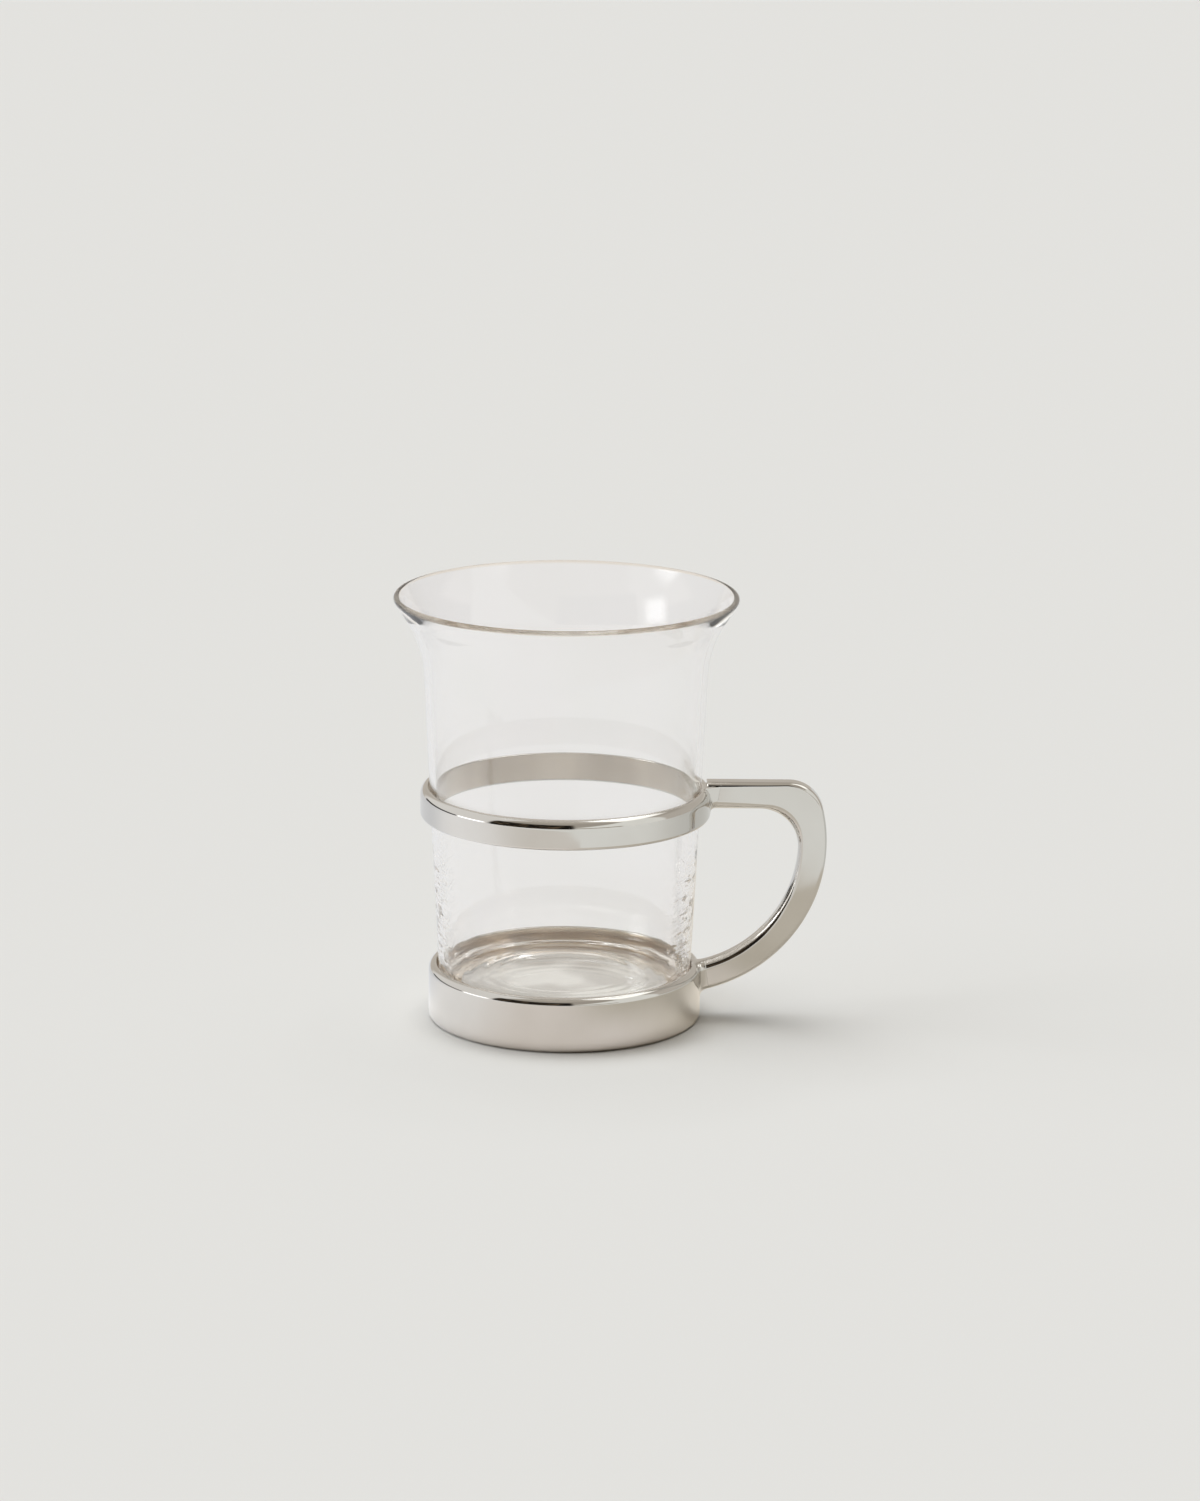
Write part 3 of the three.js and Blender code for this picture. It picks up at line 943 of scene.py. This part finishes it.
def sunLamp(name, azimuth, elevation, angle, share, colour):
    # lights the floor alone: what metal and glass mirror is the room itself. A strength of
    # pi / sin(elevation) would light a white floor to 1
    lamp = bpy.data.lights.new(name, "SUN")
    lamp.energy = share * math.pi / math.sin(math.radians(elevation))
    lamp.angle = math.radians(angle)
    lamp.color = colour
    lamp.cycles.use_multiple_importance_sampling = False
    place = bpy.data.objects.new(name, lamp)
    place.rotation_euler = (-towards(azimuth, elevation)).to_track_quat("-Z", "Y").to_euler()
    place.visible_glossy = False
    place.visible_transmission = False
    scene.collection.objects.link(place)


def surroundings():
    # each part of the room is laid over the last, inside its span of azimuth and elevation
    world = bpy.data.worlds.new("studio")
    scene.world = world
    world.use_nodes = True
    world.cycles.sampling_method = "NONE"
    tree = world.node_tree
    tree.nodes.clear()
    direction = addNode(tree, "ShaderNodeTexCoord").outputs["Generated"]
    split = addNode(tree, "ShaderNodeSeparateXYZ")
    tree.links.new(direction, split.inputs["Vector"])
    azimuth = azimuthOf(tree, split.outputs["X"], split.outputs["Y"])
    elevation = mathNode(tree, "DEGREES", mathNode(tree, "ARCSINE", split.outputs["Z"]))
    shapes = soft(tree, noise(tree, direction, *studio["mottleNoise"]), *studio["mottleEdge"])

    def patchwork(colour, parts):
        for name, (centre, half, low, high, rise, edge, light) in parts.items():
            turn = mathNode(tree, "WRAP", mathNode(tree, "SUBTRACT", azimuth, centre), 180, -180)
            level = mathNode(tree, "SUBTRACT", elevation, mathNode(tree, "MULTIPLY", turn, rise))
            mask = soft(tree, mathNode(tree, "ABSOLUTE", turn), half + edge / 2, half - edge / 2)
            mask = mathNode(tree, "MULTIPLY", mask, soft(tree, elevation, low - edge / 2, low + edge / 2))
            mask = mathNode(tree, "MULTIPLY", mask, soft(tree, level, high + edge / 2, high - edge / 2))
            if name == "darkRoom":
                light = layered(tree, shapes, light, studio["mottle"])
            colour = layered(tree, mask, colour, light)
        return colour

    path = addNode(tree, "ShaderNodeLightPath")
    inMetal = patchwork(studio["horizon"], room)
    inGlass = patchwork(studio["roomThroughGlass"], roomInGlass)
    colour = layered(tree, path.outputs["Is Transmission Ray"], inMetal, inGlass)
    colour = layered(tree, path.outputs["Is Camera Ray"], colour, studio["floorColour"])
    seen = mathNode(tree, "MAXIMUM", path.outputs["Is Glossy Ray"], path.outputs["Is Transmission Ray"])
    seen = mathNode(tree, "MAXIMUM", path.outputs["Is Camera Ray"], seen)
    background = addNode(tree, "ShaderNodeBackground")
    output = addNode(tree, "ShaderNodeOutputWorld")
    tree.links.new(colour, background.inputs["Color"])
    tree.links.new(seen, background.inputs["Strength"])
    tree.links.new(background.outputs["Background"], output.inputs["Surface"])
    layOut(tree)


# the photograph's view: place in mm about the glass's axis, angles in degrees, focal length in pixels
shot = {
    "place": (8.697, -1197.653, 366.184),
    "pitch": 13.909,
    "roll": 0.4414,
    "focal": 4864.94,
    "imageHeight": 1501,
    "sensor": 36.0,
}


def camera():
    lens = bpy.data.cameras.new("camera")
    lens.sensor_width = shot["sensor"]
    lens.lens = shot["focal"] / shot["imageHeight"] * shot["sensor"]
    lens.clip_start = 0.01
    lens.clip_end = 100
    pitch, roll = math.radians(shot["pitch"]), math.radians(shot["roll"])
    forward = Vector((0, math.cos(pitch), -math.sin(pitch)))
    up = Vector((0, math.sin(pitch), math.cos(pitch)))
    right = Vector((1, 0, 0))
    side = math.cos(roll) * right + math.sin(roll) * up
    top = math.cos(roll) * up - math.sin(roll) * right
    place = Vector(shot["place"]) * mm + Vector((axisX, 0, 0))
    view = bpy.data.objects.new("camera", lens)
    view.matrix_world = Matrix((
        (side.x, top.x, -forward.x, place.x),
        (side.y, top.y, -forward.y, place.y),
        (side.z, top.z, -forward.z, place.z),
        (0, 0, 0, 1),
    ))
    scene.collection.objects.link(view)
    scene.camera = view


floor()
surroundings()
for name, values in lamps.items():
    sunLamp(name, *values)
camera()
lightBounces = 160  # light runs along inside the glass wall for many of them
scene.cycles.caustics_reflective = True
scene.cycles.caustics_refractive = False
scene.cycles.max_bounces = lightBounces
scene.cycles.transmission_bounces = lightBounces
scene.cycles.glossy_bounces = lightBounces
scene.cycles.transparent_max_bounces = 16
scene.view_settings.view_transform = "Standard"
print("floor, light and camera set")
